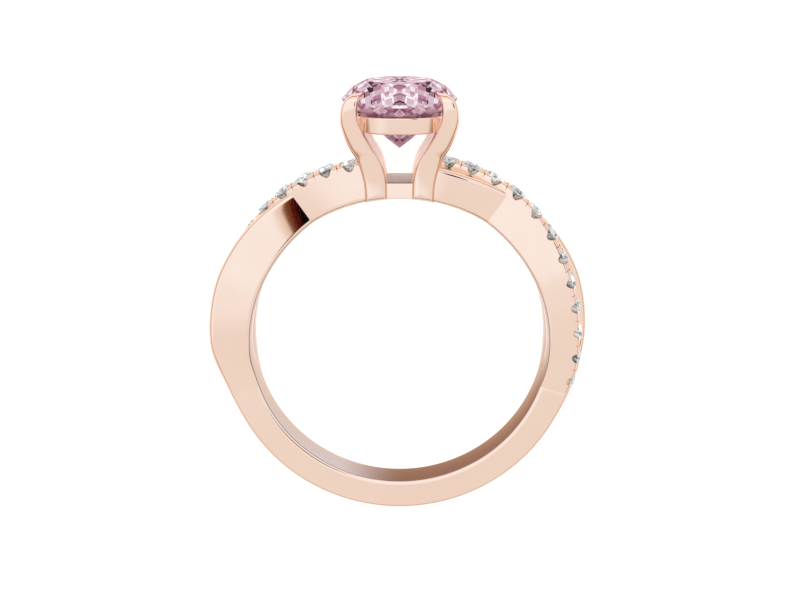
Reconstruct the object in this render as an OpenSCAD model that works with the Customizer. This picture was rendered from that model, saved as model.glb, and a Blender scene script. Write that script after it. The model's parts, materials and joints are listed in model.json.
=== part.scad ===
// Twisted shank ring: a plain strand and a stone-set strand cross twice on their way from a
// plain band up to a four-claw head that holds one oval brilliant.
// The ring is drawn upright in its own frame, X across, Y along the finger, Z up through the
// head, with the finger's axis through the origin. The module lying() then lays it on its side
// on the floor z = 0, where it rests on the centre stone's girdle and the band's edge.
// Angles round the shank are counted from the head.

/* [Shank] */
// Inside radius
inner_r = 8.65; // [8.4:0.05:8.9]
// Outside radius of the plain band opposite the head
band_outer_r = 10.4; // [10.3:0.05:10.6]
// Width of the plain band along the finger
band_w = 2.2; // [2.1:0.05:2.4]
// Width of each twisted strand, square to its run
strand_w = 1.72; // [1.66:0.02:1.8]
// Rounding of the edges on the finger side
inner_round = 0.26; // [0.15:0.01:0.3]
// Rounding of the edges on the outside
outer_round = 0.24; // [0.15:0.01:0.3]

/* [Small stones] */
// Stones down each side of the head
stone_count = 12; // [6:1:12]
// Diameter of a small stone
stone_d = 1.22; // [1.16:0.02:1.24]
// Angle from the head to the first stone
first_stone_angle = 15.2; // [15:0.1:15.6]
// Angle from the first stone to the second
stone_step = 7.27; // [7.2:0.01:7.32]
// Half width of the cut that bares a stone's side
scallop_half = 0.37; // [0.32:0.01:0.4]
// Depth of that cut under the strand's outside
scallop_depth = 0.4; // [0.36:0.02:0.46]

/* [Centre stone] */
// Length of the oval, along the finger
oval_l = 8.5; // [8.2:0.05:8.6]
// Width of the oval
oval_w = 6.46; // [6.3:0.02:6.6]
// Height of the girdle's middle above the finger's axis
girdle_z = 14.05; // [13.95:0.05:14.2]
// Height of the crown
crown_h = 0.98; // [0.8:0.02:1.1]
// Depth of the pavilion
pavilion_h = 2.68; // [2.5:0.02:2.8]
// Gap between a stone and its seat
seat_gap = 0.03; // [0.02:0.01:0.05]

/* [Head] */
// Height of the gallery rail's underside above the finger's axis
gallery_z = 12.44; // [12.4:0.02:12.6]
// Height of the gallery rail
gallery_h = 0.94; // [0.8:0.02:0.96]
// Length of the gallery rail, along the finger
gallery_l = 7.0; // [6.96:0.02:7.1]
// Width of the gallery rail
gallery_w = 5.8; // [5.7:0.02:5.86]
// How far the gallery rail's foot draws in on every side
gallery_draw = 0.12; // [0.04:0.02:0.14]
// How square the gallery rail is: 2 is a true oval
gallery_square = 2.5; // [2.2:0.1:2.7]
// Width of the bridge between the claws, along the finger
bridge_w = 3.6; // [3.4:0.1:3.8]
// Height of the bridge's top above the finger's axis
bridge_z = 9.58; // [9.4:0.02:9.7]

/* [Hidden] */
// Stone-set strand's offset along the finger: angle from the head, offset. The plain strand has
// the opposite offset.
TWIST = [
    [0, 0.82], [12, 0.80], [19, 0.68], [27, 0.38], [35, 0], [46, -0.47],
    [59, -0.86], [70, -0.94], [90, -0.90], [99, -0.62], [107, -0.24], [114, 0]
];
// Angle between the places that the offset is averaged over.
TWIST_EASE = 3;
// Plain strand: angle from the head, outside radius.
PLAIN_RISE = [
    [0, 10.57], [12, 10.57], [22, 10.60], [30, 10.68], [37, 10.80], [52, 11.08], [62, 11.17],
    [70, 11.20], [82, 11.10], [90, 11.00], [97, 10.80], [104, 10.58], [112, 10.44],
    [120, band_outer_r], [180, band_outer_r]
];
// Stone-set strand: angle from the head, outside radius.
SET_RISE = [
    [0, 10.83], [12, 10.88], [20, 10.98], [28, 11.07], [37, 11.10], [46, 11.03], [52, 10.94],
    [57, 10.85], [62, 10.75], [67, 10.66], [73, 10.58], [80, 10.49], [90, 10.46], [104, 10.46],
    [112, 10.30]
];
// Claw's middle line and half sizes: across, along the finger, height, half width, half depth.
CLAW = [
    [1.31, 1.50, 8.45, 0.62, 0.50],
    [1.34, 1.52, 9.40, 0.65, 0.49],
    [1.475, 1.62, 10.14, 0.675, 0.46],
    [1.73, 1.82, 10.90, 0.67, 0.44],
    [2.10, 2.10, 11.50, 0.65, 0.43],
    [2.48, 2.45, 12.30, 0.60, 0.42],
    [2.71, 2.74, 12.98, 0.53, 0.41],
    [2.755, 2.95, 13.57, 0.465, 0.40],
    [2.65, 3.00, 14.16, 0.41, 0.36],
    [2.40, 2.90, 14.52, 0.27, 0.25],
    [2.06, 2.72, 14.66, 0.09, 0.09]
];
// Angles at which the strands start under the claws, and the stone-set one ends in the band.
PLAIN_START = 8.2;
SET_START = 9.3;
SET_END = 112;
// Angles between which the plain strand widens into the band.
WIDEN_START = 90;
WIDEN_END = 110;
PLAIN_STATIONS = 148;
SET_STATIONS = 45;
SET_ROUND = 0.22;
// How much each step between stones is wider than the one before.
STEP_GROWTH = 0.14;
// How far a small stone's girdle lies under the strand's outside.
SET_SINK = 0.02;
SCALLOP_STEPS = 6;
STONE_TABLE = 0.58;
STONE_CROWN = 0.155;
STONE_PAVILION = 0.42;
STONE_GIRDLE = 0.03;
OVAL_TABLE = 0.6;
OVAL_GIRDLE = 0.16;
MAIN_FACETS = 8;
// Share of the girdle's size at which the pavilion's lower facets end.
PAVILION_BREAK = 0.24;
// Half width of a small seat's tip, and the seat's height above the girdle.
SEAT_TIP = 0.08;
SEAT_RISE = 0.6;
// Lengths by which cuts run past what they cut.
CUT_PAST = 0.15;
BORE_CUT = 8;
BORE_SIDES = 180;
CLAW_SIDES = 16;
CLAW_SPLIT = 2;
CLAW_SQUARE = 0.5;
BRIDGE_HALF = 1.5;
BRIDGE_SINK = 0.4;
MOUTH_EASE = 0.28;
GALLERY_WALL = 0.55;
GALLERY_SIDES = 64;
PLAIN_OVERCUT = 0.15;
SET_OVERCUT = 0.22;
// Where the lying ring touches the floor: the girdle's end and the band's edge, as distance along
// the finger and height above the finger's axis. The line through the two gives the pitch.
TOUCH_STONE = [oval_l / 2, girdle_z - OVAL_GIRDLE / 2];
TOUCH_BAND = [band_w / 2, outer_round - band_outer_r];
REST_PITCH = atan2(TOUCH_STONE[0] - TOUCH_BAND[0], TOUCH_STONE[1] - TOUCH_BAND[1]);
REST_Z = TOUCH_BAND[0] * cos(REST_PITCH) - TOUCH_BAND[1] * sin(REST_PITCH);
// Ends of the lying ring along its head: the table's edge and the band's far edge.
FAR_HEAD = (girdle_z + OVAL_GIRDLE / 2 + crown_h) * cos(REST_PITCH)
    + oval_l / 2 * OVAL_TABLE * cos(180 / MAIN_FACETS) * sin(REST_PITCH);
FAR_BAND = band_outer_r * cos(REST_PITCH) + (band_w / 2 - outer_round) * sin(REST_PITCH);
REST_Y = (FAR_BAND - FAR_HEAD) / 2;
METAL = [0.93, 0.72, 0.62];
CLEAR = [0.86, 0.88, 0.9, 0.6];
PINK = [0.85, 0.6, 0.7, 0.7];

stone_names = [for (side = ["right", "left"]) for (i = [1:stone_count]) str("stone_", side, "_", i)];

// Index of the table row at or before x.
function row_at(table, x, i = 0) =
    (i >= len(table) - 2 || x < table[i + 1][0]) ? i : row_at(table, x, i + 1);

// Slope of a table's column at a row, level at both ends.
function slope_at(table, i) =
    (i == 0 || i == len(table) - 1) ? 0
    : (table[i + 1][1] - table[i - 1][1]) / (table[i + 1][0] - table[i - 1][0]);

// Smooth curve through a table of angle and value.
function curve(table, x) =
    let (
        i = row_at(table, x),
        step = table[i + 1][0] - table[i][0],
        u = min(max((x - table[i][0]) / step, 0), 1),
        u2 = u * u,
        u3 = u2 * u
    )
    (2 * u3 - 3 * u2 + 1) * table[i][1] + (u3 - 2 * u2 + u) * step * slope_at(table, i)
    + (3 * u2 - 2 * u3) * table[i + 1][1] + (u3 - u2) * step * slope_at(table, i + 1);

// The stone-set strand's offset along the finger, evened out round an angle.
function twist(angle) =
    let (
        share = [1, 4, 6, 4, 1] / 16,
        near = [for (k = [-2:2]) curve(TWIST, angle + k * TWIST_EASE)]
    )
    share * near;

// Half width of a strand along the finger, wider where its run slants.
function half_width(angle) =
    let (
        run = 2 * inner_r * PI / 360,
        slant = (twist(angle + 1) - twist(angle - 1)) / (2 * run)
    )
    strand_w / 2 * sqrt(1 + slant * slant);

// Quarter circle's points, from one heading to another.
function bend(x, y, r, from, to, steps) =
    [for (i = [0:steps]) let (a = from + (to - from) * i / steps) [x + r * cos(a), y + r * sin(a)]];

// Outline of a shank section as [along the finger, radius], from the outside round to the
// inside, which reaches past the finger hole by a depth.
function section(half, outer, r, depth) =
    concat(
        bend(half - r, outer - r, r, 0, 90, 2),
        bend(r - half, outer - r, r, 90, 180, 2),
        bend(inner_round - half, inner_r + inner_round, inner_round, 180, 240, 2),
        [[inner_round - half, inner_r - depth], [half - inner_round, inner_r - depth]],
        bend(half - inner_round, inner_r + inner_round, inner_round, 300, 360, 2)
    );

// A section's points set up at an angle round the shank and moved along the finger.
function station(points, angle, offset) =
    [for (p = points) [p[1] * sin(angle), p[0] + offset, p[1] * cos(angle)]];

// Share of the band's form that the plain strand has taken, from 0 to 1.
function widened(angle) =
    let (u = min(max((angle - WIDEN_START) / (WIDEN_END - WIDEN_START), 0), 1))
    u * u * (3 - 2 * u);

// One section of the plain strand, for an angle from the head on the right side.
function plain_points(angle) =
    section(
        half_width(angle) * (1 - widened(angle)) + band_w / 2 * widened(angle),
        curve(PLAIN_RISE, angle), outer_round, PLAIN_OVERCUT
    );

// The plain strand's offset along the finger, on the right side.
function plain_offset(angle) = -twist(angle) * (1 - widened(angle));

// Closed skin over rings of points of equal count.
module skin(rings) {
    n = len(rings[0]);
    last = len(rings) - 1;
    sides = [
        for (k = [0:last - 1]) for (i = [0:n - 1])
            let (j = (i + 1) % n)
            each [
                [k * n + i, (k + 1) * n + i, k * n + j],
                [k * n + j, (k + 1) * n + i, (k + 1) * n + j]
            ]
    ];
    caps = [[for (i = [0:n - 1]) i], [for (i = [n - 1:-1:0]) last * n + i]];
    polyhedron(points = [for (r = rings) each r], faces = concat(caps, sides), convexity = 8);
}

// The plain strand, down one side, through the band and up the other side.
module plain_strand() {
    skin([
        for (i = [0:PLAIN_STATIONS])
            let (
                angle = PLAIN_START + (360 - 2 * PLAIN_START) * i / PLAIN_STATIONS,
                right = angle < 180 ? angle : 360 - angle,
                side = angle < 180 ? 1 : -1
            )
            station(plain_points(right), angle, side * plain_offset(right))
    ]);
}

// The stone-set strand's bare form, from the head down the right side into the band.
module set_form() {
    skin([
        for (i = [0:SET_STATIONS])
            let (angle = SET_START + (SET_END - SET_START) * i / SET_STATIONS)
            station(
                section(half_width(angle), curve(SET_RISE, angle), SET_ROUND, SET_OVERCUT),
                angle, twist(angle)
            )
    ]);
}

// Facets of a brilliant: table, crown mains with stars between, a thin girdle and a pavilion.
// half_x and half_y are the girdle's half axes, and z = 0 is the girdle's middle.
module brilliant(half_x, half_y, table, crown, girdle, pavilion) {
    n = MAIN_FACETS;
    step = 360 / n;
    star = (1 + table * cos(step / 2)) / 2;
    star_z = girdle / 2 + crown * (1 - star * cos(step / 2)) / (1 - table);
    break_z = -girdle / 2 - pavilion * (1 - PAVILION_BREAK * cos(step / 2));
    ring = function (count, share, z, turn)
        [for (i = [0:count - 1]) [
            half_x * share * cos(i * 360 / count + turn),
            half_y * share * sin(i * 360 / count + turn),
            z
        ]];
    points = concat(
        ring(n, table, girdle / 2 + crown, step / 2),
        ring(n, star, star_z, 0),
        ring(2 * n, 1, girdle / 2, 0),
        ring(2 * n, 1, -girdle / 2, 0),
        ring(n, PAVILION_BREAK, break_z, 0),
        [[0, 0, -girdle / 2 - pavilion]]
    );
    top = function (i) (i + n) % n;
    mid = function (i) n + (i + n) % n;
    upper = function (i) 2 * n + (i + 2 * n) % (2 * n);
    lower = function (i) 4 * n + (i + 2 * n) % (2 * n);
    under = function (i) 6 * n + (i + n) % n;
    culet = 7 * n;
    faces = concat(
        [[for (i = [n - 1:-1:0]) i]],
        [for (i = [0:n - 1]) each [
            [top(i - 1), top(i), mid(i)],
            [top(i), mid(i + 1), upper(2 * i + 1), mid(i)],
            [mid(i), upper(2 * i + 1), upper(2 * i)],
            [mid(i), upper(2 * i), upper(2 * i - 1)],
            [lower(2 * i), lower(2 * i + 1), under(i)],
            [lower(2 * i - 1), lower(2 * i), under(i)],
            [under(i), lower(2 * i + 1), under(i + 1), culet]
        ]],
        [for (i = [0:2 * n - 1]) [upper(i), upper(i + 1), lower(i + 1), lower(i)]]
    );
    polyhedron(points = points, faces = faces, convexity = 2);
}

// Angle from the head to stone i.
function stone_angle(i) = first_stone_angle + (i - 1) * (stone_step + STEP_GROWTH * (i - 2) / 2);

// Places its children on the stone-set strand, at stone i, with Z pointing out of the ring.
module at_stone(i) {
    angle = stone_angle(i);
    rotate([0, angle, 0])
        translate([0, twist(angle), curve(SET_RISE, angle) - SET_SINK])
            children();
}

// Room for a small stone: its pavilion's cone and a well above the girdle.
module small_seat() {
    r = stone_d / 2 + seat_gap;
    depth = stone_d * STONE_PAVILION + 2 * seat_gap;
    rotate_extrude($fn = 32)
        polygon([[0, -depth], [SEAT_TIP, -depth], [r, -2 * seat_gap], [r, SEAT_RISE], [0, SEAT_RISE]]);
}

// Cut through a strand's edges that bares a stone's side, with a round bottom.
module scallop() {
    bottom = [
        for (k = [-SCALLOP_STEPS:SCALLOP_STEPS])
            let (u = k / SCALLOP_STEPS)
            [scallop_half * u, SET_SINK - scallop_depth * (1 - u * u)]
    ];
    rotate([90, 0, 0])
        linear_extrude(height = strand_w + 2 * CUT_PAST, center = true)
            polygon(concat(bottom, [[scallop_half, SEAT_RISE], [-scallop_half, SEAT_RISE]]));
}

// The stone-set strand of one side with its scallops, without the seats.
module set_strand() {
    difference() {
        set_form();
        for (i = [1:stone_count]) at_stone(i) scallop();
    }
}

// Row of a table at a fractional place t, on a smooth curve through the rows.
function row_between(rows, t) =
    let (
        i = min(floor(t), len(rows) - 2),
        u = t - i,
        a = rows[max(i - 1, 0)],
        b = rows[i],
        c = rows[i + 1],
        d = rows[min(i + 2, len(rows) - 1)]
    )
    b + u / 2 * (c - a) + u * u / 2 * (2 * a - 5 * b + 4 * c - d) + u * u * u / 2 * (3 * b - 3 * c + d - a);

// A claw's level section: squared on its outer side, round on the stone's side.
function claw_ring(row) =
    [for (i = [0:CLAW_SIDES - 1])
        let (
            a = 360 * (i + 0.5) / CLAW_SIDES,
            c = cos(a),
            s = sin(a),
            power = s > 0 ? CLAW_SQUARE : 1
        )
        [
            row[0] + row[3] * sign(c) * pow(abs(c), power),
            row[1] + row[4] * sign(s) * pow(abs(s), power),
            row[2]
        ]
    ];

// One claw of the head, for one corner of the oval.
module claw(side_x, side_y) {
    steps = CLAW_SPLIT * (len(CLAW) - 1);
    mirror([side_x < 0 ? 1 : 0, 0, 0])
        mirror([0, side_y < 0 ? 1 : 0, 0])
            skin([for (k = [0:steps]) claw_ring(row_between(CLAW, k / CLAW_SPLIT))]);
}

// Oval rail under the stone's girdle.
module gallery() {
    foot_x = gallery_w / 2 - gallery_draw;
    foot_y = gallery_l / 2 - gallery_draw;
    translate([0, 0, gallery_z])
        linear_extrude(height = gallery_h, scale = [gallery_w / 2 / foot_x, gallery_l / 2 / foot_y])
            difference() {
                oval(foot_x, foot_y);
                oval(foot_x - GALLERY_WALL, foot_y - GALLERY_WALL);
            }
}

// Many-sided oval from its half axes, squared off a little.
module oval(half_x, half_y) {
    polygon([
        for (i = [0:GALLERY_SIDES - 1])
            let (a = 360 * (i + 0.5) / GALLERY_SIDES, power = 2 / gallery_square)
            [
                half_x * sign(cos(a)) * pow(abs(cos(a)), power),
                half_y * sign(sin(a)) * pow(abs(sin(a)), power)
            ]
    ]);
}

// Saddle that joins the four claws and the strands' ends.
module bridge() {
    translate([-BRIDGE_HALF, -bridge_w / 2, inner_r - BRIDGE_SINK])
        cube([2 * BRIDGE_HALF, bridge_w, bridge_z - inner_r + BRIDGE_SINK]);
}

// Claws and bridge, eased where the finger goes in.
module head() {
    low = inner_r - MOUTH_EASE;
    high = inner_r + MOUTH_EASE;
    difference() {
        union() {
            for (x = [-1, 1], y = [-1, 1]) claw(x, y);
            bridge();
        }
        for (side = [-90, 90])
            rotate([side, 0, 0])
                translate([0, 0, bridge_w / 2 - MOUTH_EASE])
                    cylinder(r1 = low, r2 = high, h = 2 * MOUTH_EASE, $fn = BORE_SIDES);
    }
}

// Everything that is metal, drawn upright.
module upright_mount() {
    difference() {
        union() {
            plain_strand();
            set_strand();
            rotate([0, 0, 180]) set_strand();
            head();
            gallery();
        }
        rotate([90, 0, 0])
            cylinder(r = inner_r, h = BORE_CUT, center = true, $fn = BORE_SIDES);
        for (turn = [0, 180])
            rotate([0, 0, turn])
                for (i = [1:stone_count]) at_stone(i) small_seat();
        centre_cut(seat_gap);
    }
}

// The centre stone's facets, grown by a gap on every side.
module centre_cut(gap) {
    translate([0, 0, girdle_z])
        brilliant(
            oval_w / 2 + gap, oval_l / 2 + gap, OVAL_TABLE,
            crown_h + gap, OVAL_GIRDLE + 2 * gap, pavilion_h + gap
        );
}

// Lays the upright ring on its side as it rests.
module lying() {
    translate([0, REST_Y, REST_Z])
        rotate([REST_PITCH - 90, 0, 0])
            children();
}

module ring_mount() {
    color(METAL) lying() upright_mount();
}

module centre_stone() {
    color(PINK) lying() centre_cut(0);
}

module small_stone(turn, i) {
    color(CLEAR)
        lying()
            rotate([0, 0, turn])
                at_stone(i)
                    brilliant(
                        stone_d / 2, stone_d / 2, STONE_TABLE,
                        stone_d * STONE_CROWN, stone_d * STONE_GIRDLE, stone_d * STONE_PAVILION
                    );
}

ring_mount();
centre_stone();
for (i = [1:stone_count]) {
    small_stone(0, i);
    small_stone(180, i);
}
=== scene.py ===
"""Finish and fine form of a rose gold ring with a twisted shank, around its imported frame.

Metal pieces are built upright in millimetres, X across the ring, Y along the finger and Z up
through the head, with the finger's axis through the origin. Rest.lay then puts them where the
lying ring is, in metres.
"""

import json
import logging
import math
from collections.abc import Callable, Iterable, Mapping, Sequence
from dataclasses import dataclass, field, replace
from enum import Enum
from functools import partial
from itertools import product

import bmesh
import bpy
from bmesh.types import BMEdge, BMesh, BMVert
from bpy.types import ID, Material, Mesh, Object
from mathutils import Matrix, Vector

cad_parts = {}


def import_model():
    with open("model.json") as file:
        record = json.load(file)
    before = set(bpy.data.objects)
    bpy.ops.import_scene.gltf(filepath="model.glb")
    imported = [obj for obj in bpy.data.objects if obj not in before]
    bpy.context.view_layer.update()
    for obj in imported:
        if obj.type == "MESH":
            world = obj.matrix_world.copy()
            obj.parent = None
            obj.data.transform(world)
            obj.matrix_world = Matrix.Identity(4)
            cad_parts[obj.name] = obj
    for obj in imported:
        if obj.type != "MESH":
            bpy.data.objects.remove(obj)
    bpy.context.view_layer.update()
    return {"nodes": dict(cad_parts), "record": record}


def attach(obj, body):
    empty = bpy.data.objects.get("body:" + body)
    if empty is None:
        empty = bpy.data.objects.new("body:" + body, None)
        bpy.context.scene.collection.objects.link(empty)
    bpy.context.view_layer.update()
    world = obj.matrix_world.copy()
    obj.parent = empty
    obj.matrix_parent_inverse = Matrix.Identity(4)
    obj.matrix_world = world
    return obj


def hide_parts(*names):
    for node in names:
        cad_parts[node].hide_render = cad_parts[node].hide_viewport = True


LOG = logging.getLogger("ring")
MM = 0.001
FULL_TURN = 2 * math.pi
MERGE_GAP = 1e-4

Colour = tuple[float, float, float, float]
Triple = tuple[float, float, float]
Pair = tuple[float, float]


class Slot(Enum):
    """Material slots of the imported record."""

    METAL = "rose_gold"
    PINK = "pink_stone"
    CLEAR = "clear_stone"


class Side(Enum):
    """Right or left of the head in the photograph, with its sign along X."""

    RIGHT = 1
    LEFT = -1


class Depth(Enum):
    """Near or far half of the head, with its sign along the finger."""

    FRONT = -1
    BACK = 1


class Work(Enum):
    """What a tool body does to the body that it works on."""

    CUT = "DIFFERENCE"
    JOIN = "UNION"


class Wire:
    """A shader socket that Python's operators work on, adding Math nodes."""

    def __init__(self, graph: "Graph", socket: bpy.types.NodeSocket) -> None:
        """Wraps a socket of a node in a graph."""
        self.graph = graph
        self.socket = socket

    def maths(self, operation: str, *values: object) -> "Wire":
        """Adds one Math node.

        Args:
            operation: The Math node's operation.
            values: Its inputs in order, wires or numbers.

        Returns:
            The result's wire.
        """
        return self.graph.add("ShaderNodeMath", {"operation": operation}, dict(enumerate(values)))

    def __add__(self, other: object) -> "Wire":
        """Sum with a wire or a number."""
        return self.maths("ADD", self, other)

    __radd__ = __add__

    def __sub__(self, other: object) -> "Wire":
        """Difference from a wire or a number."""
        return self.maths("SUBTRACT", self, other)

    def __rsub__(self, other: object) -> "Wire":
        """A number less this wire."""
        return self.maths("SUBTRACT", other, self)

    def __mul__(self, other: object) -> "Wire":
        """Product with a wire or a number."""
        return self.maths("MULTIPLY", self, other)

    __rmul__ = __mul__

    def __pow__(self, power: object) -> "Wire":
        """This wire to a power."""
        return self.maths("POWER", self, power)

    def __abs__(self) -> "Wire":
        """This wire without its sign."""
        return self.maths("ABSOLUTE", self)

    def __floor__(self) -> "Wire":
        """This wire rounded down."""
        return self.maths("FLOOR", self)

    def at_least(self, other: object) -> "Wire":
        """This wire, or another where that is more."""
        return self.maths("MAXIMUM", self, other)

    def between(self, low: float, high: float) -> "Wire":
        """Smooth step over a range of this wire.

        Args:
            low: Where it is 0.
            high: Where it is 1.

        Returns:
            The step's wire.
        """
        settings = {"interpolation_type": "SMOOTHSTEP"}
        inputs = {"Value": self, "From Min": low, "From Max": high}
        return self.graph.add("ShaderNodeMapRange", settings, inputs)


class Graph:
    """A node tree that grows by one call for each node."""

    def __init__(self, tree: bpy.types.NodeTree) -> None:
        """Empties a node tree and starts on it."""
        tree.nodes.clear()
        self.tree = tree

    def add(
        self,
        kind: str,
        settings: Mapping[str, object] | None = None,
        inputs: Mapping[object, object] | None = None,
        output: int | str = 0,
    ) -> Wire | None:
        """Adds a node.

        Args:
            kind: The node's type.
            settings: Its own settings, set first. The key stops gives a ramp's places and colours.
            inputs: A wire or a value for each socket, by name or place.
            output: The output socket that is wanted.

        Returns:
            The wire of that output.
        """
        node = self.tree.nodes.new(kind)
        for name, value in (settings or {}).items():
            if name == "stops":
                self._set_stops(node.color_ramp, value)
            else:
                setattr(node, name, value)
        for name, value in (inputs or {}).items():
            if isinstance(value, Wire):
                self.tree.links.new(value.socket, node.inputs[name])
            else:
                node.inputs[name].default_value = value
        return Wire(self, node.outputs[output]) if len(node.outputs) else None

    def upright(self, rest: "Rest") -> Wire:
        """The shaded point in the upright ring's millimetres.

        Args:
            rest: Where the ring lies.

        Returns:
            The point's wire.
        """
        settings = {"vector_type": "TEXTURE"}
        place = rest.to_floor
        inputs = {
            "Vector": self.place(),
            "Location": place.to_translation(),
            "Rotation": place.to_euler(),
            "Scale": place.to_scale(),
        }
        return self.add("ShaderNodeMapping", settings, inputs)

    def parts(self, vector: Wire) -> list[Wire]:
        """The three components of a vector."""
        return [self.add("ShaderNodeSeparateXYZ", None, {0: vector}, axis) for axis in "XYZ"]

    @staticmethod
    def _set_stops(ramp: bpy.types.ColorRamp, stops: Sequence[tuple[float, Sequence[float]]]) -> None:
        """Gives a ramp its stops, which it starts with two of.

        Args:
            ramp: The ramp.
            stops: Each stop's place and colour.
        """
        for _ in range(len(stops) - 2):
            ramp.elements.new(0.5)
        for element, (place, colour) in zip(ramp.elements, stops):
            element.position = place
            element.color = colour

    def place(self) -> Wire:
        """The Object coordinates of the shaded point."""
        return self.add("ShaderNodeTexCoord", output="Object")

    def noise(self, at: Wire, scale: float, detail: float = 2.0) -> Wire:
        """Soft noise from about 0.3 to 0.7, with scale in cells a metre."""
        inputs = {"Vector": at, "Scale": scale, "Detail": detail}
        return self.add("ShaderNodeTexNoise", None, inputs)

    def mix(self, share: object, first: object, second: object) -> Wire:
        """Blend of two colours."""
        inputs = {0: share, 6: first, 7: second}
        return self.add("ShaderNodeMix", {"data_type": "RGBA"}, inputs, output=2)

    def along(self, vector: Wire, way: Sequence[float]) -> Wire:
        """How far a vector reaches along a direction, whose length multiplies it."""
        settings = {"operation": "DOT_PRODUCT"}
        return self.add("ShaderNodeVectorMath", settings, {0: vector, 1: Vector(way)}, "Value")

    def bump(self, height: Wire, strength: float, distance: float) -> Wire:
        """Normal from a height, with distance in metres."""
        inputs = {"Height": height, "Strength": strength, "Distance": distance}
        return self.add("ShaderNodeBump", None, inputs)


def new_material(name: str, build: Callable[[Graph], Wire]) -> Material:
    """Makes a material from a function that builds its shader.

    Args:
        name: The material's name.
        build: Adds the nodes and returns the shader's wire.

    Returns:
        The material.
    """
    material = bpy.data.materials.new(name)
    material.use_nodes = True
    graph = Graph(material.node_tree)
    graph.add("ShaderNodeOutputMaterial", None, {"Surface": build(graph)})
    return material


@dataclass(frozen=True)
class RoseGold:
    """Polished rose gold with a faint ripple and fine hairlines.

    The finger side carries a painted grey shade, with a painted brown reflection round the bottom
    of the band. The glow is a painted glow, for the claws' lighter satin copy.
    """

    rest: "Rest"
    colour: Colour = (0.865, 0.66, 0.555, 1.0)
    deep_colour: Colour = (0.85, 0.64, 0.535, 1.0)
    # Painted grey shade of the finger side, and painted brown reflection round the band's bottom.
    painted_inner_shade: Colour = (0.58, 0.53, 0.55, 1.0)
    painted_brown_reflection: Colour = (0.24, 0.115, 0.085, 1.0)
    edge_tint: Colour = (1.0, 0.8, 0.66, 1.0)
    roughness: float = 0.06
    metallic: float = 1.0
    # Painted glow, used only on the claws' lighter satin copy.
    glow: float = 0.0
    cloud_size: float = 260.0
    cloud_edge: Pair = (0.35, 0.65)
    hairline: float = 0.05
    hairline_size: float = 5200.0
    hairline_run: Triple = (1.0, 9.0, 2.0)
    hairline_edge: Pair = (0.52, 0.72)
    hairline_depth: float = 0.15
    ripple_size: float = 700.0
    ripple_height: float = 0.5e-6
    inner_depth: float = 0.12
    painted_reflection_lean: float = 0.68
    painted_reflection_span: Pair = (0.6, 1.04)

    def shader(self, graph: Graph) -> Wire:
        """Adds the metal's nodes.

        Args:
            graph: The material's graph.

        Returns:
            The shader.
        """
        at = graph.place()
        cloud = graph.noise(at, self.cloud_size)
        stretched = graph.add("ShaderNodeMapping", None, {"Vector": at, "Scale": self.hairline_run})
        lines = graph.noise(stretched, self.hairline_size, 4.0)
        ripple = graph.noise(at, self.ripple_size, 1.0)
        gloss = self.roughness + self.hairline * lines.between(*self.hairline_edge)
        tone = graph.mix(cloud.between(*self.cloud_edge), self.colour, self.deep_colour)
        inputs = {
            "Base Color": self._paint_inner_shade(graph, tone),
            "Metallic": self.metallic,
            "Roughness": gloss,
            "Specular Tint": self.edge_tint,
            # Painted glow, used only on the claws' lighter satin copy.
            "Emission Color": self.colour,
            "Emission Strength": self.glow,
            "Normal": graph.bump(ripple + self.hairline_depth * lines, 1.0, self.ripple_height),
        }
        return graph.add("ShaderNodeBsdfPrincipled", None, inputs)

    def _paint_inner_shade(self, graph: Graph, colour: Wire) -> Wire:
        """Paints a grey shade and a brown reflection onto the finger side of a colour.

        Args:
            graph: The material's graph.
            colour: The metal's colour.

        Returns:
            The toned colour.
        """
        across, _, height = graph.parts(graph.upright(self.rest))
        reach = (across * across + height * height) ** 0.5
        r = self.rest.inner_r
        # Painted shade: greyer on the finger side.
        inside = 1.0 - reach.between(r, r + self.inner_depth)
        # Painted brown reflection round the bottom of the band.
        painted_brown_mask = (self.painted_reflection_lean * across - height).between(self.painted_reflection_span[0] * r, self.painted_reflection_span[1] * r)
        return graph.mix(inside, colour, graph.mix(painted_brown_mask, self.painted_inner_shade, self.painted_brown_reflection))


@dataclass(frozen=True)
class BareCasting:
    """Rose gold between the claws, grey and speckled where no wheel reaches."""

    colour: Colour = (0.66, 0.53, 0.47, 1.0)
    speck: Colour = (0.36, 0.27, 0.24, 1.0)
    roughness: float = 0.32
    speck_gloss: float = 0.2
    grain_size: float = 6500.0
    grain_share: float = 0.6
    cloud_size: float = 2600.0
    speck_edge: Pair = (0.55, 0.85)
    speck_height: float = 4e-6
    speck_strength: float = 0.6

    def shader(self, graph: Graph) -> Wire:
        """Adds the casting's nodes.

        Args:
            graph: The material's graph.

        Returns:
            The shader.
        """
        at = graph.place()
        cells = {"Vector": at, "Scale": self.grain_size}
        grain = graph.add("ShaderNodeTexVoronoi", None, cells, "Distance")
        cloud = graph.noise(at, self.cloud_size, 3.0)
        specks = (grain * self.grain_share + cloud).between(*self.speck_edge)
        inputs = {
            "Base Color": graph.mix(specks, self.speck, self.colour),
            "Metallic": 1.0,
            "Roughness": self.roughness + self.speck_gloss * specks,
            "Normal": graph.bump(specks, self.speck_strength, self.speck_height),
        }
        return graph.add("ShaderNodeBsdfPrincipled", None, inputs)


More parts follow.
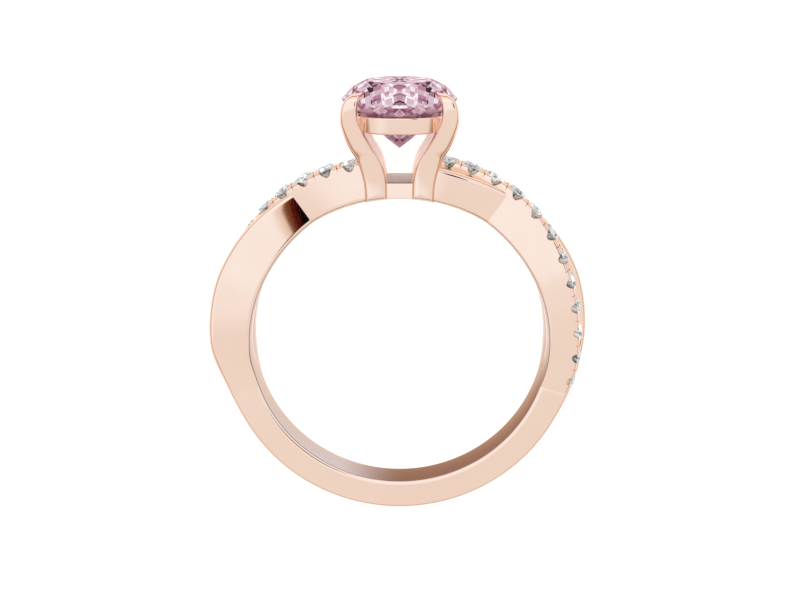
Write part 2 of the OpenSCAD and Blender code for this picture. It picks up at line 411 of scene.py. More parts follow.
@dataclass(frozen=True)
class CutStone:
    """Faceted stone with painted flashes and shadows in its colour, in place of what its facets throw
    inside.

    The painted fragments are the same left and right, and each facet shows another part of them.
    They also give off a painted glow. The lower part and the far ends can carry a painted shade.
    """

    rest: "Rest"
    painted_flash_tones: tuple[tuple[float, Colour], ...]
    bend: float
    # Strength of the painted glow that the painted flashes give off.
    painted_glow: float
    clearness: float
    fragments: float
    # Painted shade on the lower part and the far ends.
    painted_shade: float = 0.0
    painted_shade_tone: Colour = (0.34, 0.11, 0.2, 1.0)
    painted_shade_height: Pair = (13.4, 14.2)
    painted_shade_reach: Pair = (2.6, 4.3)
    facet_shift: float = 1.7
    cuts: tuple[Triple, ...] = ((1.0, 0.3, 0.3), (0.5, -0.35, 1.25), (-0.85, 0.4, 0.75))
    layers: tuple[Pair, Pair] = ((0.66, 1.0), (0.34, 0.62))
    shine: float = 0.25
    polish: float = 0.03
    polish_size: float = 9000.0

    def shader(self, graph: Graph) -> Wire:
        """Adds the stone's nodes.

        Args:
            graph: The material's graph.

        Returns:
            The shader.
        """
        places = graph.parts(graph.upright(self.rest))
        facets = graph.parts(graph.add("ShaderNodeTexCoord", output="Normal"))
        spots = [abs(place) + self.facet_shift * abs(facet) for place, facet in zip(places, facets)]
        spot = graph.add("ShaderNodeCombineXYZ", None, dict(zip("XYZ", spots)))
        small, large = (share * self._splinters(graph, spot, scale) for share, scale in self.layers)
        # Painted flashes and shadows: flat random shades in the colour, standing in for the light that
        # the facets throw inside.
        painted_flashes = graph.add("ShaderNodeValToRGB", {"stops": self.painted_flash_tones}, {0: small + large})
        # Painted shade on the lower part and the far ends.
        low = 1.0 - places[2].between(*self.painted_shade_height)
        far = abs(places[0]).between(*self.painted_shade_reach)
        painted_flashes = graph.mix(self.painted_shade * low.at_least(far), painted_flashes, self.painted_shade_tone)
        inputs = {
            "Base Color": painted_flashes,
            "Roughness": self.polish * graph.noise(graph.place(), self.polish_size),
            "IOR": self.bend,
            "Specular IOR Level": self.shine,
            "Transmission Weight": self.clearness,
            # The painted flashes also glow a little: a painted glow.
            "Emission Color": painted_flashes,
            "Emission Strength": self.painted_glow,
        }
        return graph.add("ShaderNodeBsdfPrincipled", None, inputs)

    def _splinters(self, graph: Graph, spot: Wire, scale: float) -> Wire:
        """Flat random shades between three sets of planes that cross, so most are triangles.

        Args:
            graph: The material's graph.
            spot: The place that the shades are read at.
            scale: How close the planes lie.

        Returns:
            The shade's wire.
        """
        ways = [scale * self.fragments * Vector(way) for way in self.cuts]
        planes = [math.floor(graph.along(spot, way)) for way in ways]
        cell = graph.add("ShaderNodeCombineXYZ", None, dict(zip("XYZ", planes)))
        return graph.add("ShaderNodeTexWhiteNoise", None, {"Vector": cell}, "Value")


@dataclass(frozen=True)
class StudioFloor:
    """Matt white acrylic of a light table, lit from below, with a barely visible tooth."""

    colour: Colour = (0.28, 0.28, 0.28, 1.0)
    shade: Colour = (0.26, 0.26, 0.26, 1.0)
    light: Colour = (1.0, 0.99, 0.98, 1.0)
    glow: float = 0.88
    roughness: float = 0.8
    shine: float = 0.2
    tooth_size: float = 1500.0

    def shader(self, graph: Graph) -> Wire:
        """Adds the board's nodes.

        Args:
            graph: The material's graph.

        Returns:
            The shader.
        """
        at = graph.place()
        tooth = graph.noise(at, self.tooth_size, 3.0)
        inputs = {
            "Base Color": graph.mix(tooth, self.colour, self.shade),
            "Roughness": self.roughness,
            "Specular IOR Level": self.shine,
            "Emission Color": self.light,
            "Emission Strength": self.glow,
        }
        return graph.add("ShaderNodeBsdfPrincipled", None, inputs)


@dataclass(frozen=True)
class Course:
    """A smooth curve through rows of angle and value, level at both ends."""

    rows: tuple[Pair, ...]

    def _slope(self, i: int) -> float:
        """Slope at a row.

        Args:
            i: The row's place in the list.

        Returns:
            The slope, which is 0 at both ends.
        """
        if i in (0, len(self.rows) - 1):
            return 0.0
        (x0, y0), (x1, y1) = self.rows[i - 1], self.rows[i + 1]
        return (y1 - y0) / (x1 - x0)

    def at(self, x: float) -> float:
        """The curve's value at an angle.

        Args:
            x: The angle in degrees.

        Returns:
            The value.
        """
        rows = self.rows
        i = max((k for k in range(len(rows) - 1) if rows[k][0] <= x), default=0)
        (x0, y0), (x1, y1) = rows[i], rows[i + 1]
        step = x1 - x0
        u = min(max((x - x0) / step, 0.0), 1.0)
        rise = 3 * u**2 - 2 * u**3
        ease = (u**3 - 2 * u**2 + u) * self._slope(i) + (u**3 - u**2) * self._slope(i + 1)
        return y0 * (1 - rise) + y1 * rise + step * ease


class Skin:
    """A closed body drawn by extruding one outline from station to station."""

    def __init__(self) -> None:
        """Starts with no stations."""
        self.body = bmesh.new()
        self.rank = self.body.verts.layers.int.new("rank")
        self.edges: list[BMEdge] = []
        self.first: list[BMEdge] = []

    def station(self, points: Sequence[Vector]) -> None:
        """Draws the next station.

        Args:
            points: Its points, which follow the last station's in order.
        """
        if self.edges:
            made = bmesh.ops.extrude_edge_only(self.body, edges=self.edges)["geom"]
            corners = {g for g in made if isinstance(g, BMVert)}
            for corner in corners:
                corner.co = points[corner[self.rank]]
            edges = (g for g in made if isinstance(g, BMEdge))
            self.edges = [e for e in edges if corners.issuperset(e.verts)]
            return
        corners = [self.body.verts.new(p) for p in points]
        for rank, corner in enumerate(corners):
            corner[self.rank] = rank
        pairs = zip(corners, corners[1:] + corners[:1])
        self.edges = self.first = [self.body.edges.new(pair) for pair in pairs]

    def end(self, closed: bool = False) -> BMesh:
        """Closes the body.

        Args:
            closed: Whether the last station joins the first instead of being capped.

        Returns:
            The body, with its faces pointing outwards.
        """
        if closed:
            bmesh.ops.bridge_loops(self.body, edges=self.first + self.edges)
        else:
            bmesh.ops.edgeloop_fill(self.body, edges=self.first)
            bmesh.ops.edgeloop_fill(self.body, edges=self.edges)
        bmesh.ops.recalc_face_normals(self.body, faces=self.body.faces)
        return self.body


def arc(centre: Pair, radius: float, start: float, end: float, steps: int) -> list[Pair]:
    """Points on a flat arc.

    Args:
        centre: The arc's centre.
        radius: Its radius.
        start: Heading of its first point, in degrees.
        end: Heading of its last point.
        steps: Number of chords.

    Returns:
        The points in order.
    """
    turns = [math.radians(start + (end - start) * k / steps) for k in range(steps + 1)]
    return [(centre[0] + radius * math.cos(t), centre[1] + radius * math.sin(t)) for t in turns]


def square_off(share: float, power: float) -> float:
    """A cosine or sine to a power, with its sign kept. A power below 1 squares a round off."""
    return math.copysign(abs(share) ** power, share)


def turn_profile(body: BMesh, profile: Sequence[Triple], axis: Triple, steps: int) -> list[BMVert]:
    """Spins a profile a full turn round an axis through the origin.

    Args:
        body: The body that it is drawn in, whose finished corners are tagged.
        profile: The profile's points in order.
        axis: The axis.
        steps: Number of steps round.

    Returns:
        The new corners.
    """
    corners = [body.verts.new(point) for point in profile]
    edges = [body.edges.new(pair) for pair in zip(corners, corners[1:])]
    bmesh.ops.spin(
        body, geom=corners + edges, cent=(0, 0, 0), axis=axis, dvec=(0, 0, 0),
        angle=FULL_TURN, steps=steps, use_merge=True,
    )
    fresh = [v for v in body.verts if not v.tag]
    bmesh.ops.remove_doubles(body, verts=fresh, dist=MERGE_GAP)
    return [v for v in body.verts if not v.tag]


def to_mesh(body: BMesh, name: str) -> Mesh:
    """Writes a bmesh to a new mesh and frees it.

    Args:
        body: The bmesh.
        name: The mesh's name.

    Returns:
        The mesh.
    """
    mesh = bpy.data.meshes.new(name)
    body.to_mesh(mesh)
    body.free()
    return mesh


def to_object(data: ID, name: str) -> Object:
    """Links a new object to the scene.

    Args:
        data: What it holds.
        name: Its name.

    Returns:
        The object.
    """
    piece = bpy.data.objects.new(name, data)
    bpy.context.scene.collection.objects.link(piece)
    return piece


def carve(body: BMesh, tools: Iterable[tuple[Work, BMesh]]) -> BMesh:
    """Cuts tools from a body, or joins them to it, one after another.

    Args:
        body: The closed body.
        tools: Pairs of what a tool does and its closed body.

    Returns:
        The carved body.
    """
    blank = to_object(to_mesh(body, "blank"), "blank")
    spare = [blank]
    for work, tool in tools:
        cutter = to_object(to_mesh(tool, "cutter"), "cutter")
        modifier = blank.modifiers.new(work.name, "BOOLEAN")
        modifier.operation = work.value
        modifier.solver = "EXACT"
        modifier.object = cutter
        spare.append(cutter)
    graph = bpy.context.evaluated_depsgraph_get()
    carved = bmesh.new()
    shaped = blank.evaluated_get(graph)
    carved.from_mesh(shaped.to_mesh())
    shaped.to_mesh_clear()
    for thing in spare:
        mesh = thing.data
        bpy.data.objects.remove(thing)
        bpy.data.meshes.remove(mesh)
    return carved


def smooth(body: BMesh, crease: float) -> None:
    """Shades a body smoothly, with sharp edges where its faces meet steeply.

    Args:
        body: The body.
        crease: Angle in degrees above which an edge is sharp.
    """
    for face in body.faces:
        face.smooth = True
    for edge in body.edges:
        edge.smooth = edge.calc_face_angle(0.0) < math.radians(crease)


@dataclass
class Rest:
    """Where the upright ring lies once it rests on its side, read from its finger bore."""

    record: Mapping[str, object]
    bore: str = "finger_bore"
    crease: float = 30.0
    to_floor: Matrix = field(init=False)
    inner_r: float = field(init=False)

    def __post_init__(self) -> None:
        """Works out the way from upright millimetres to the floor's metres."""
        mount = next(m for m in self.record["mounts"] if m["name"] == self.bore)
        across = Vector((1.0, 0.0, 0.0))
        along = -Vector(mount["axis"]).normalized()
        up = across.cross(along)
        turn = Matrix((across, along, up)).transposed().to_4x4()
        self.inner_r = mount["dims"]["r_mm"]
        self.to_floor = Matrix.Translation(mount["pos_m"]) @ turn @ Matrix.Scale(MM, 4)

    def lay(self, body: BMesh, name: str, finish: Material) -> Object:
        """Lays an upright body down as a finished metal piece.

        Args:
            body: The body, upright in millimetres.
            name: The piece's name.
            finish: Its material.

        Returns:
            The piece.
        """
        smooth(body, self.crease)
        bmesh.ops.transform(body, matrix=self.to_floor, verts=body.verts)
        piece = to_object(to_mesh(body, name), name)
        piece.data.materials.append(finish)
        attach(piece, "root")
        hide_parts("ring_mount")
        LOG.info("%s: %d faces", name, len(piece.data.polygons))
        return piece


@dataclass(frozen=True)
class Strand:
    """Outline and run that the plain and the stone-set strand share."""

    inner_r: float
    width: float = 1.72
    inner_round: float = 0.26
    waist: float = 0.55
    hold: float = 0.03
    ease: float = 3.0
    ease_shares: tuple[int, ...] = (1, 4, 6, 4, 1)
    corner_steps: int = 6
    twist: Course = Course(
        (
            (0, 0.82), (12, 0.80), (19, 0.68), (27, 0.38), (35, 0.0), (46, -0.47),
            (59, -0.86), (70, -0.94), (90, -0.90), (99, -0.62), (107, -0.24), (114, 0.0),
        )
    )

    def offset(self, angle: float) -> float:
        """The set strand's offset along the finger, evened out round an angle."""
        near = zip(self.ease_shares, (angle + k * self.ease for k in range(-2, 3)))
        return sum(share * self.twist.at(place) for share, place in near) / sum(self.ease_shares)

    def half(self, angle: float) -> float:
        """Half width along the finger, more where the run slants.

        Args:
            angle: Angle from the head.

        Returns:
            The half width.
        """
        run = math.radians(2 * self.inner_r)
        slant = (self.offset(angle + 1) - self.offset(angle - 1)) / (2 * run)
        return self.width / 2 * math.hypot(1, slant)

    def outline(self, half: float, outer: float, r: float) -> list[Pair]:
        """Rounded outline of the strand.

        Args:
            half: Half width along the finger.
            outer: Outside radius.
            r: Rounding of the outer edges.

        Returns:
            Places along the finger and radii.
        """
        inner, steps = self.inner_r + self.inner_round, self.corner_steps
        flat = [(half, h) for h in (inner + self.hold, outer - self.waist, outer - r - self.hold)]
        return [
            *arc((half - r, outer - r), r, 0, 90, steps),
            *arc((r - half, outer - r), r, 90, 180, steps),
            *[(-y, h) for y, h in reversed(flat)],
            *arc((self.inner_round - half, inner), self.inner_round, 180, 270, steps),
            *arc((half - self.inner_round, inner), self.inner_round, 270, 360, steps),
            *flat,
        ]

    @staticmethod
    def set_up(points: Sequence[Pair], angle: float, offset: float) -> list[Vector]:
        """An outline's points at an angle round the shank, moved along the finger."""
        turn = math.radians(angle)
        return [Vector((r * math.sin(turn), y + offset, r * math.cos(turn))) for y, r in points]


@dataclass
class PlainStrand:
    """The plain strand, which is also the band opposite the head."""

    strand: Strand
    band_outer_r: float = 10.4
    band_w: float = 2.2
    edge_round: float = 0.24
    start: float = 8.2
    widen: Pair = (90.0, 110.0)
    stations: int = 400
    rise: Course = field(init=False)

    def __post_init__(self) -> None:
        """Sets the outside radius by the angle from the head."""
        self.rise = Course(
            (
                (0, 10.57), (12, 10.57), (22, 10.60), (30, 10.68), (37, 10.80), (52, 11.08),
                (62, 11.17), (70, 11.20), (82, 11.10), (90, 11.00), (97, 10.80), (104, 10.58),
                (112, 10.44), (120, self.band_outer_r), (180, self.band_outer_r),
            )
        )

    def points(self, angle: float, side: Side) -> list[Vector]:
        """Points of one station.

        Args:
            angle: Angle from the head down one side.
            side: The side.

        Returns:
            The points in order.
        """
        low, high = self.widen
        u = min(max((angle - low) / (high - low), 0.0), 1.0)
        share = u * u * (3 - 2 * u)
        half = self.strand.half(angle) * (1 - share) + self.band_w / 2 * share
        offset = -self.strand.offset(angle) * (1 - share)
        outline = self.strand.outline(half, self.rise.at(angle), self.edge_round)
        return Strand.set_up(outline, side.value * angle, side.value * offset)

    def build(self) -> BMesh:
        """Draws the strand down one side, through the band and up the other side.

        Returns:
            The closed body.
        """
        skin = Skin()
        for k in range(self.stations + 1):
            angle = self.start + (360 - 2 * self.start) * k / self.stations
            place = (angle, Side.RIGHT) if angle <= 180 else (360 - angle, Side.LEFT)
            skin.station(self.points(*place))
        return skin.end()


@dataclass
class SetStrand:
    """The stone-set strand of one side: wells, scallops, splits and beads."""

    strand: Strand
    stone_count: int = 12
    stone_d: float = 1.22
    first_angle: float = 15.2
    step: float = 7.27
    step_growth: float = 0.14
    start: float = 9.3
    end: float = 112.0
    stations: int = 130
    edge_round: float = 0.22
    seat_gap: float = 0.03
    girdle_sink: float = 0.02
    well_depth: float = 0.42
    well_foot: float = 0.08
    well_steps: int = 40
    scallop_half: float = 0.37
    scallop_depth: float = 0.4
    scallop_steps: int = 12
    split_w: float = 0.1
    split_depth: float = 0.3
    split_top: float = 0.2
    tool_top: float = 0.6
    tool_over: float = 0.25
    bead_r: float = 0.12
    bead_sink: float = 0.06
    bead_along: float = 0.15
    bead_side: float = 0.5
    rise: Course = Course(
        (
            (0, 10.83), (12, 10.88), (20, 10.98), (28, 11.07), (37, 11.10), (46, 11.03),
            (52, 10.94), (57, 10.85), (62, 10.75), (67, 10.66), (73, 10.58), (80, 10.49),
            (90, 10.46), (104, 10.46), (112, 10.30),
        )
    )

    def bare(self) -> BMesh:
        """The strand before anything is cut, from the head into the band.

        Returns:
            The closed body.
        """
        skin = Skin()
        for k in range(self.stations + 1):
            angle = self.start + (self.end - self.start) * k / self.stations
            outline = self.strand.outline(self.strand.half(angle), self.rise.at(angle), self.edge_round)
            skin.station(Strand.set_up(outline, angle, self.strand.offset(angle)))
        return skin.end()

    def spot(self, angle: float, sink: float = 0.0) -> Matrix:
        """Frame on the strand's outside, X down the run and Z out of the ring.

        Args:
            angle: Angle from the head.
            sink: Depth under the surface.

        Returns:
            The frame's matrix.
        """
        turn = Matrix.Rotation(math.radians(angle), 4, "Y")
        out = Vector((0.0, self.strand.offset(angle), self.rise.at(angle) - sink))
        return turn @ Matrix.Translation(out)

    def stone_angles(self) -> list[float]:
        """Angles of the stones from the head."""
        return [
            self.first_angle + i * (self.step + self.step_growth * (i - 1) / 2)
            for i in range(self.stone_count)
        ]

    def post_angles(self) -> list[float]:
        """Angles of the posts between the stones and at both ends.

        Returns:
            The angles from the head, one more than there are stones.
        """
        stones = self.stone_angles()
        ends = (2 * stones[0] - stones[1], 2 * stones[-1] - stones[-2])
        row = [ends[0], *stones, ends[1]]
        return [(a + b) / 2 for a, b in zip(row, row[1:])]

    def wells(self) -> BMesh:
        """Drill shapes under the stones.

        Returns:
            The closed cutters.
        """
        tool = bmesh.new()
        r, top = self.stone_d / 2 + self.seat_gap, self.tool_top
        depth = self.stone_d * self.well_depth + 2 * self.seat_gap
        profile = [(0, -depth), (self.well_foot, -depth), (r, -2 * self.seat_gap), (r, top), (0, top)]
        for angle in self.stone_angles():
            fresh = turn_profile(tool, [(x, 0, z) for x, z in profile], (0, 0, 1), self.well_steps)
            bmesh.ops.transform(tool, matrix=self.spot(angle, self.girdle_sink), verts=fresh)
            for v in fresh:
                v.tag = True
        bmesh.ops.recalc_face_normals(tool, faces=tool.faces)
        return tool

    def scallops(self) -> BMesh:
        """Round-bottomed cutters that bare the stones' sides.

        Returns:
            The closed cutters.
        """
        w, depth, steps = self.scallop_half, self.scallop_depth, self.scallop_steps
        shares = [k / steps for k in range(-steps, steps + 1)]
        bottom = [(w * u, -depth * (1 - u * u)) for u in shares]
        return self.grooves(self.stone_angles(), [*bottom, (w, self.tool_top), (-w, self.tool_top)])

    def splits(self) -> BMesh:
        """Wedge cutters that split each post's top into a pair of prongs."""
        w, top = self.split_w / 2, self.split_top
        return self.grooves(self.post_angles(), [(0, -self.split_depth), (w, top), (-w, top)])

    def grooves(self, angles: Sequence[float], profile: Sequence[Pair]) -> BMesh:
        """Cutters that run along the finger through the whole strand.

        Args:
            angles: Where they lie, from the head.
            profile: Their outline down the run and out of the ring.

        Returns:
            The closed cutters.
        """
        tool = bmesh.new()
        long = self.strand.width + 2 * self.tool_over
        for angle in angles:
            spot = self.spot(angle)
            corners = [spot @ Vector((x, -long / 2, z)) for x, z in profile]
            face = tool.faces.new([tool.verts.new(corner) for corner in corners])
            made = bmesh.ops.extrude_face_region(tool, geom=[face])["geom"]
            moved = [g for g in made if isinstance(g, BMVert)]
            bmesh.ops.translate(tool, vec=spot.to_3x3() @ Vector((0, long, 0)), verts=moved)
        bmesh.ops.recalc_face_normals(tool, faces=tool.faces)
        return tool

    def beads(self) -> BMesh:
        """Bead prongs, four to a post, that lean over the stones' edges.

        Returns:
            The closed beads.
        """
        heads = bmesh.new()
        for angle in self.post_angles():
            for along in (-self.bead_along, self.bead_along):
                for side in (-self.bead_side, self.bead_side):
                    place = Matrix.Translation((along, side, -self.bead_sink))
                    bmesh.ops.create_uvsphere(
                        heads, u_segments=14, v_segments=9, radius=self.bead_r,
                        matrix=self.spot(angle) @ place,
                    )
        return heads

    def build(self, side: Side) -> BMesh:
        """Builds the strand.

        Args:
            side: The side of the head that it is on.

        Returns:
            The carved body with its beads.
        """
        tools = [
            (Work.CUT, self.scallops()),
            (Work.CUT, self.splits()),
            (Work.JOIN, self.beads()),
            (Work.CUT, self.wells()),
        ]
        body = carve(self.bare(), tools)
        if side is Side.LEFT:
            bmesh.ops.rotate(body, matrix=Matrix.Rotation(math.pi, 3, "Z"), verts=body.verts)
        return body


@dataclass
class Head:
    """Claws, gallery rail and bridge that carry the centre stone.

    A claw row gives a centre and the half sizes across and along the finger.
    """

    inner_r: float
    gallery_z: float = 12.44
    gallery_h: float = 0.94
    gallery_draw: float = 0.12
    gallery_l: float = 7.0
    gallery_w: float = 5.8
    gallery_square: float = 2.5
    gallery_wall: float = 0.55
    gallery_round: float = 0.09
    gallery_hold: float = 0.02
    gallery_bevel: Pair = (0.14, 0.25)
    gallery_corner_steps: int = 4
    gallery_stations: int = 192
    bridge_w: float = 3.6
    bridge_half: float = 1.5
    bridge_z: float = 9.58
    bridge_spare: float = 0.4
    bridge_bevel: float = 0.1
    mouth_half: float = 4.0
    mouth_over: float = 0.2
    mouth_round: float = 0.34
    mouth_round_steps: int = 6
    mouth_steps: int = 240
    seat_gap: float = 0.03
    claw_sides: int = 32
    claw_steps: int = 6
    claw_square: float = 0.5
    claw_rows: tuple[tuple[float, ...], ...] = (
        (1.31, 1.50, 8.45, 0.62, 0.50),
        (1.34, 1.52, 9.40, 0.65, 0.49),
        (1.475, 1.62, 10.14, 0.675, 0.46),
        (1.73, 1.82, 10.90, 0.67, 0.44),
        (2.10, 2.10, 11.50, 0.65, 0.43),
        (2.48, 2.45, 12.30, 0.60, 0.42),
        (2.71, 2.74, 12.98, 0.53, 0.41),
        (2.755, 2.95, 13.57, 0.465, 0.40),
        (2.65, 3.00, 14.16, 0.41, 0.36),
        (2.40, 2.90, 14.52, 0.27, 0.25),
        (2.06, 2.72, 14.66, 0.09, 0.09),
    )

    def claw_row(self, t: float) -> list[float]:
        """A claw's row on a smooth curve through the rows.

        Args:
            t: Its place, in rows and parts of a row.

        Returns:
            The row's values.
        """
        rows = self.claw_rows
        i = min(int(t), len(rows) - 2)
        u = t - i
        near = (rows[max(i - 1, 0)], rows[i], rows[i + 1], rows[min(i + 2, len(rows) - 1)])
        return [
            b
            + u / 2 * (c - a)
            + u**2 / 2 * (2 * a - 5 * b + 4 * c - d)
            + u**3 / 2 * (3 * b - 3 * c + d - a)
            for a, b, c, d in zip(*near)
        ]

    def claw(self, side: Side, depth: Depth, mouth: BMesh, seat: BMesh) -> BMesh:
        """Builds one claw, cut by the finger hole and by the stone's seat.

        Args:
            side: Its side of the head.
            depth: Its half of the head.
            mouth: The finger hole's cutter.
            seat: The stone seat's cutter.

        Returns:
            The closed body.
        """
        skin = Skin()
        turns = [FULL_TURN * (i + 0.5) / self.claw_sides for i in range(self.claw_sides)]
        for k in range(self.claw_steps * (len(self.claw_rows) - 1) + 1):
            x, y, z, half_x, half_y = self.claw_row(k / self.claw_steps)
            points = []
            for turn in turns:
                power = self.claw_square if math.sin(turn) > 0 else 1.0
                across = x + half_x * square_off(math.cos(turn), power)
                along = y + half_y * square_off(math.sin(turn), power)
                points.append(Vector((side.value * across, depth.value * along, z)))
            skin.station(points)
        return carve(skin.end(), [(Work.CUT, mouth), (Work.CUT, seat)])

    def mouth(self) -> BMesh:
        """The finger hole's cutter, flared where the finger goes in.

        Returns:
            The closed cutter.
        """
        tool = bmesh.new()
        half = self.bridge_w / 2 + self.mouth_over
        end, r = self.mouth_half, self.mouth_round
        wide = self.inner_r + r
        flare = arc((half - r, wide), r, 270, 360, self.mouth_round_steps)
        front = [(-y, z) for y, z in reversed(flare)]
        profile = [(-end, 0.0), (-end, wide), *front, *flare, (end, wide), (end, 0.0)]
        turn_profile(tool, [(0, y, z) for y, z in profile], (0, 1, 0), self.mouth_steps)
        bmesh.ops.recalc_face_normals(tool, faces=tool.faces)
        return tool

    def stone_seat(self, stone: Mesh, upright: Matrix) -> BMesh:
        """The centre stone's form, grown by the seat's gap.

        Args:
            stone: The stone as it lies.
            upright: The way from the floor to the upright ring.

        Returns:
            The closed cutter.
        """
        tool = bmesh.new()
        tool.from_mesh(stone)
        bmesh.ops.transform(tool, matrix=upright, verts=tool.verts)
        bmesh.ops.remove_doubles(tool, verts=tool.verts, dist=10 * MERGE_GAP)
        low = Vector([min(v.co[i] for v in tool.verts) for i in range(3)])
        high = Vector([max(v.co[i] for v in tool.verts) for i in range(3)])
        centre = (low + high) / 2
        grown = [1 + 2 * self.seat_gap / (b - a) for a, b in zip(low, high)]
        bmesh.ops.scale(tool, vec=grown, space=Matrix.Translation(-centre), verts=tool.verts)
        bmesh.ops.recalc_face_normals(tool, faces=tool.faces)
        return tool

    def gallery(self) -> BMesh:
        """Squared-off oval rail, with a bevel inside its top for the stone.

        Returns:
            The closed body.
        """
        skin = Skin()
        wall, r, hold = self.gallery_wall, self.gallery_round, self.gallery_hold
        low, high = self.gallery_z, self.gallery_z + self.gallery_h
        rim, bevel = self.gallery_bevel
        steps = self.gallery_corner_steps
        outline = [
            *arc((wall - r, low + r), r, 270, 360, steps),
            (wall, high - bevel),
            (rim, high),
            *arc((r, high - r), r, 90, 180, steps),
            (0, high - r - hold),
            (0, low + r + hold),
            *arc((r, low + r), r, 180, 270, steps),
        ]
        drawn = [(w + self.gallery_draw * (high - z) / self.gallery_h, z) for w, z in outline]
        power, half_w, half_l = 2 / self.gallery_square, self.gallery_w / 2, self.gallery_l / 2
        for k in range(self.gallery_stations):
            turn = FULL_TURN * (k + 0.5) / self.gallery_stations
            across, along = square_off(math.cos(turn), power), square_off(math.sin(turn), power)
            skin.station([Vector(((half_w - w) * across, (half_l - w) * along, z)) for w, z in drawn])
        return skin.end(closed=True)

    def bridge(self, mouth: BMesh) -> BMesh:
        """Saddle over the finger that joins the claws.

        Args:
            mouth: The finger hole's cutter.

        Returns:
            The closed body.
        """
        block = bmesh.new()
        low = self.inner_r - self.bridge_spare
        sizes = (2 * self.bridge_half, self.bridge_w, self.bridge_z - low)
        bmesh.ops.create_cube(block, size=1.0)
        bmesh.ops.scale(block, vec=sizes, verts=block.verts)
        bmesh.ops.translate(block, vec=(0, 0, (self.bridge_z + low) / 2), verts=block.verts)
        bmesh.ops.bevel(
            block, geom=block.edges[:], offset=self.bridge_bevel, affect="EDGES", segments=4,
            profile=0.5, material=-1,
        )
        return carve(block, [(Work.CUT, mouth)])


@dataclass(frozen=True)
class Card:
    """A soft-edged patch of the studio's surroundings, seen only as light.

    Each limit is a direction and the two cosines to it between which the patch fades in.
    """

    limits: tuple[tuple[Triple, float, float], ...]
    light: Colour

    @classmethod
    def strip(
        cls, across: Pair, light: Colour, along: Pair = (-0.22, -0.12), up: Pair = (0.86, 0.9)
    ) -> "Card":
        """One of the cards side by side above, which differ in place and light.

        Args:
            across: The cosines to X between which it fades in.
            light: Its light.
            along: The same to Y.
            up: The same to Z.

        Returns:
            The card.
        """
        return cls((((1, 0, 0), *across), ((0, 1, 0), *along), ((0, 0, 1), *up)), light)


@dataclass
class Studio:
    """White surroundings, floor, lights and the camera at the photograph's angle to the ring."""

    rest: Rest
    view_distance: float = 77.6
    view_tilt: float = 16.2
    view_focal: float = 1308.0
    view_centre: Pair = (399.55, 338.3)
    picture: tuple[int, int] = (800, 600)
    sky: Colour = (1.0, 0.99, 0.97, 1.0)
    rim: Colour = (0.52, 0.26, 0.13, 1.0)
    rim_height: Pair = (0.12, 0.42)
    floor_half: float = 0.6
    key_place: Triple = (-0.2, 0.9, 0.8)
    key_size: float = 1.2
    key_power: float = 0.5
    cards: tuple[Card, ...] = (
        Card((((-0.287, 0.958, 0), -0.43, -0.24), ((0, 0, 1), 0.5, 0.8)), (1.12, 1.21, 1.28, 1.0)),
        Card.strip((0.2, 0.256), (0.98, 0.88, 0.78, 1.0)),
        Card.strip((0.262, 0.282), (0.2, 0.055, 0.012, 1.0)),
        Card.strip((0.297, 0.315), (0.08, 0.0, 0.0, 1.0)),
        Card.strip((0.325, 0.345), (0.0, 0.0, 0.0, 1.0)),
    )

    def camera(self) -> None:
        """Places the camera where the photograph was taken from, as the ring sees it."""
        tilt = math.radians(self.view_tilt)
        back = Vector((0.0, -math.cos(tilt), math.sin(tilt)))
        up = Vector((0.0, math.sin(tilt), math.cos(tilt)))
        turn = self.rest.to_floor.to_3x3().normalized()
        axes = [turn @ v for v in (up.cross(back), up, back)]
        width, height = self.picture
        data = bpy.data.cameras.new("camera")
        data.sensor_width = 36.0
        data.lens = data.sensor_width * self.view_focal / width
        data.shift_x = (width / 2 - self.view_centre[0]) / width
        data.shift_y = (self.view_centre[1] - height / 2) / width
        data.clip_start = 0.005
        camera = to_object(data, "camera")
        seat = self.rest.to_floor @ (back * self.view_distance)
        camera.matrix_world = Matrix.Translation(seat) @ Matrix(axes).transposed().to_4x4()
        bpy.context.scene.camera = camera

    def surroundings(self) -> None:
        """Lights the scene with a white room that has a darker rim and a few cards."""
        world = bpy.data.worlds.new("studio")
        world.use_nodes = True
        bpy.context.scene.world = world
        graph = Graph(world.node_tree)
        way = graph.add("ShaderNodeTexCoord", output="Generated")
        height = graph.add("ShaderNodeSeparateXYZ", None, {0: way}, "Z")
        light = graph.mix(height.between(*self.rim_height), self.rim, self.sky)
        for card in self.cards:
            share = 1.0
            for toward, fade, full in card.limits:
                facing = graph.along(way, Vector(toward).normalized())
                share = facing.between(fade, full) * share
            light = graph.mix(share, light, card.light)
        shine = graph.add("ShaderNodeBackground", None, {"Color": light, "Strength": 1.0})
        graph.add("ShaderNodeOutputWorld", None, {"Surface": shine})

    def floor(self) -> None:
        """Lays the pale floor that the ring rests on."""
        board = bmesh.new()
        bmesh.ops.create_grid(board, x_segments=2, y_segments=2, size=self.floor_half)
        floor = to_object(to_mesh(board, "floor"), "floor")
        floor.data.materials.append(new_material("studio_floor", StudioFloor().shader))

    def lamp(self) -> None:
        """Hangs a soft square light that faces the ring."""
        data = bpy.data.lights.new("key", "AREA")
        data.size = self.key_size
        data.energy = self.key_power
        lamp = to_object(data, "key")
        lamp.location = self.key_place
        lamp.rotation_mode = "QUATERNION"
        lamp.rotation_quaternion = Vector(self.key_place).to_track_quat("Z", "Y")

    def build(self) -> None:
        """Sets the whole studio up."""
        bpy.context.scene.view_settings.view_transform = "Standard"
        self.camera()
        self.surroundings()
        self.floor()
        self.lamp()


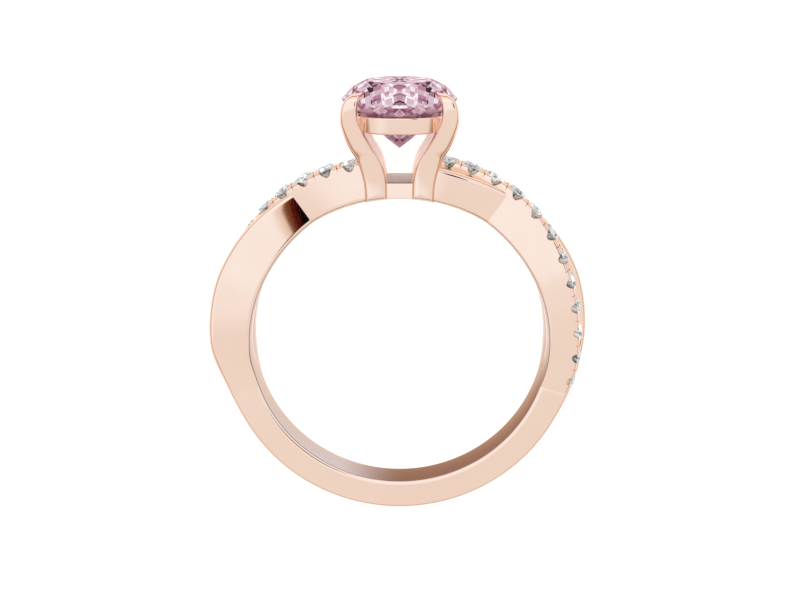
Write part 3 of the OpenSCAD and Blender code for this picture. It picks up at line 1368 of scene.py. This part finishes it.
@dataclass
class Ring:
    """The ring: metal pieces that stand for the metal node, and the stones' finishes.

    The claws' inner faces get a rougher, lighter copy of the gold with a painted glow, painted light
    on faces that stand in shade, and the bridge is bare on top. Each least is the smallest cosine
    between such a face's own direction and that side's.
    """

    rest: Rest
    nodes: Mapping[str, Object]
    lit_satin_slope: float = -0.3
    lit_satin_least: float = 0.3
    bare_least: float = 0.98

    def metal(self) -> None:
        """Builds every metal piece."""
        gold = new_material("polished_rose_gold", RoseGold(self.rest).shader)
        # A rougher, lighter copy of the gold with a painted glow: painted light on the claws' inner
        # faces, which stand in shade.
        lit_satin_gold = replace(
            RoseGold(self.rest), colour=(1.0, 0.86, 0.77, 1.0), deep_colour=(0.97, 0.83, 0.74, 1.0),
            roughness=0.55, metallic=0.3, glow=0.32,
        )
        lit_satin = new_material("satin_rose_gold", lit_satin_gold.shader)
        bare = new_material("bare_casting", BareCasting().shader)
        strand = Strand(self.rest.inner_r)
        self.rest.lay(PlainStrand(strand).build(), "plain_strand", gold)
        for side in Side:
            self.rest.lay(SetStrand(strand).build(side), f"set_strand_{side.name.lower()}", gold)
        head = Head(self.rest.inner_r)
        upright = self.rest.to_floor.inverted()
        seat = partial(head.stone_seat, self.nodes["centre_stone"].data, upright)
        for depth, side in product(Depth, Side):
            body = head.claw(side, depth, head.mouth(), seat())
            claw = self.rest.lay(body, f"claw_{depth.name}_{side.name}".lower(), gold)
            # Faces that turn towards the stone get the painted light.
            inwards = (-side.value, -2 * depth.value, self.lit_satin_slope)
            self.turn_over(claw, lit_satin, inwards, self.lit_satin_least)
        self.rest.lay(head.gallery(), "gallery_rail", gold)
        bridge = self.rest.lay(head.bridge(head.mouth()), "bridge", gold)
        self.turn_over(bridge, bare, (0, 0, 1), self.bare_least)

    def turn_over(self, piece: Object, finish: Material, toward: Triple, least: float) -> None:
        """Gives another finish to the faces of a piece that look one way.

        Args:
            piece: The piece.
            finish: The other finish.
            toward: The upright direction.
            least: Least cosine between a face's own direction and that one.
        """
        way = self.rest.to_floor.to_3x3().normalized() @ Vector(toward).normalized()
        piece.data.materials.append(finish)
        for face in piece.data.polygons:
            face.material_index = int(face.normal.dot(way) > least)

    def stones(self) -> None:
        """Gives every stone its finish."""
        pink = CutStone(
            self.rest,
            (
                (0.0, (0.008, 0.0, 0.004, 1.0)), (0.18, (0.03, 0.002, 0.012, 1.0)),
                (0.2, (0.26, 0.07, 0.15, 1.0)), (0.36, (0.44, 0.22, 0.32, 1.0)),
                (0.42, (0.62, 0.42, 0.52, 1.0)), (0.62, (0.68, 0.5, 0.59, 1.0)),
                (0.74, (0.8, 0.68, 0.74, 1.0)), (0.84, (1.0, 0.97, 0.98, 1.0)),
            ),
            bend=2.0, painted_glow=0.14, clearness=0.16, fragments=2.2, painted_shade=0.42, shine=0.0,
        )
        clear = CutStone(
            self.rest,
            (
                (0.0, (0.01, 0.01, 0.01, 1.0)), (0.2, (0.12, 0.13, 0.12, 1.0)),
                (0.35, (0.38, 0.4, 0.4, 1.0)), (0.6, (0.6, 0.64, 0.65, 1.0)),
                (0.75, (0.95, 0.97, 0.98, 1.0)),
            ),
            bend=2.4, painted_glow=0.28, clearness=0.25, fragments=3.0,
        )
        finishes = {
            Slot.PINK: new_material("pink_oval", pink.shader),
            Slot.CLEAR: new_material("clear_round", clear.shader),
        }
        for part in self.rest.record["subparts"]:
            slot = Slot(part["material_slot"])
            if slot in finishes:
                self.nodes[part["node"]].material_slots[0].material = finishes[slot]
                LOG.info("%s: finish only", part["node"])


def main() -> None:
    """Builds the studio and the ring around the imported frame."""
    logging.basicConfig(level=logging.INFO, format="%(name)s %(message)s")
    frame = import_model()
    rest = Rest(frame["record"])
    Studio(rest).build()
    ring = Ring(rest, frame["nodes"])
    ring.metal()
    ring.stones()


if __name__ == "__main__":
    main()
